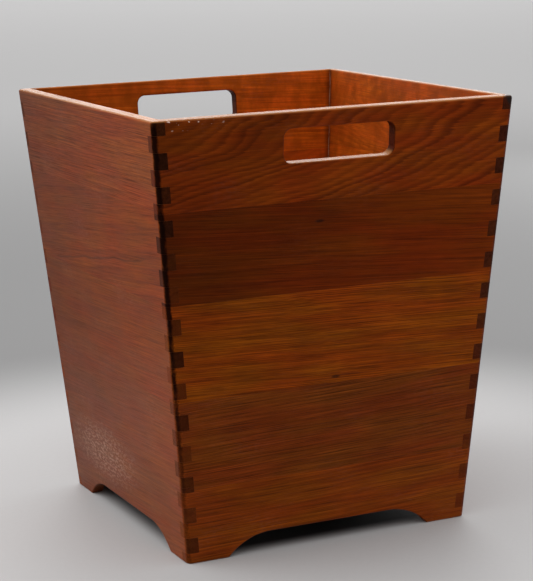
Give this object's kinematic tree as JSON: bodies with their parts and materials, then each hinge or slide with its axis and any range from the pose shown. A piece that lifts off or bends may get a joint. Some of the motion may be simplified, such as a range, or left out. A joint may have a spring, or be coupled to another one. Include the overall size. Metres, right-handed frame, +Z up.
{
  "type": "wastebasket",
  "caption": "Splayed square wastebasket of solid wood staves with box-jointed corners, hand holes in two opposite walls and arched feet.",
  "frame": {"origin": "on the floor, under the middle of the basket", "axes": "+Z up, the front wall (with one of the hand holes) faces -Y, +X to the right of the front wall"},
  "size_m": [0.291, 0.291, 0.3308],
  "materials": {
    "teak_warm": "oiled and lacquered teak, satin",
    "teak_dark": "oiled and lacquered teak, satin, the darkest boards",
    "teak_golden": "oiled and lacquered teak, satin, straight grained and golden",
    "teak_red": "oiled and lacquered teak, satin, redder boards",
    "teak_panel": "oiled teak-faced panel, satin"
  },
  "bodies": {
    "root": {"front_wall_top_stave": "teak_warm", "front_wall_upper_stave": "teak_dark", "front_wall_middle_stave": "teak_golden", "front_wall_lower_stave": "teak_red", "front_wall_foot_stave": "teak_warm", "right_wall_top_stave": "teak_warm", "right_wall_upper_stave": "teak_golden", "right_wall_middle_stave": "teak_red", "right_wall_lower_stave": "teak_dark", "right_wall_foot_stave": "teak_warm", "back_wall_top_stave": "teak_golden", "back_wall_upper_stave": "teak_warm", "back_wall_middle_stave": "teak_dark", "back_wall_lower_stave": "teak_golden", "back_wall_foot_stave": "teak_red", "left_wall_top_stave": "teak_red", "left_wall_upper_stave": "teak_warm", "left_wall_middle_stave": "teak_golden", "left_wall_lower_stave": "teak_warm", "left_wall_foot_stave": "teak_red", "bottom_panel": "teak_panel"}
  },
  "joints": []
}
